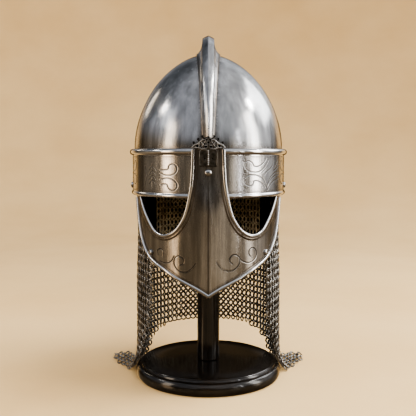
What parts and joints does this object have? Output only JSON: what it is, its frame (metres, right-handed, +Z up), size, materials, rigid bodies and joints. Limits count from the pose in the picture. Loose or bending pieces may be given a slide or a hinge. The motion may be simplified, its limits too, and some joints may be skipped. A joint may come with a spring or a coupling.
{
  "type": "masked helmet with mail curtain and display stand",
  "caption": "Oval steel helmet with a tall comb, brow band, one-piece face mask and mail curtain, held upright on a turned black stand.",
  "frame": {"origin": "centre of the stand's foot, on the floor", "axes": "+Z up, the mask faces -Y, and +X is to the right as seen from the front"},
  "size_m": [0.289, 0.2641, 0.4765],
  "materials": {
    "polished_steel": "hand polished, streaked, slightly tarnished",
    "dark_cast": "blackened casting, rubbed bright on its high points",
    "mail_steel": "dark oiled wire rings",
    "black_lacquer": "gloss black lacquer on turned wood"
  },
  "bodies": {
    "root": {"skull": "polished_steel", "crest_comb": "polished_steel", "brow_band": "polished_steel", "face_mask": "polished_steel", "nasal_ornament": "dark_cast", "nasal_rivet": "polished_steel", "cheek_rivet_right": "polished_steel", "cheek_rivet_left": "polished_steel", "temple_rivet_right": "polished_steel", "temple_rivet_left": "polished_steel", "mail_curtain": "mail_steel", "stand_post": "black_lacquer", "stand_base": "black_lacquer"}
  },
  "joints": []
}
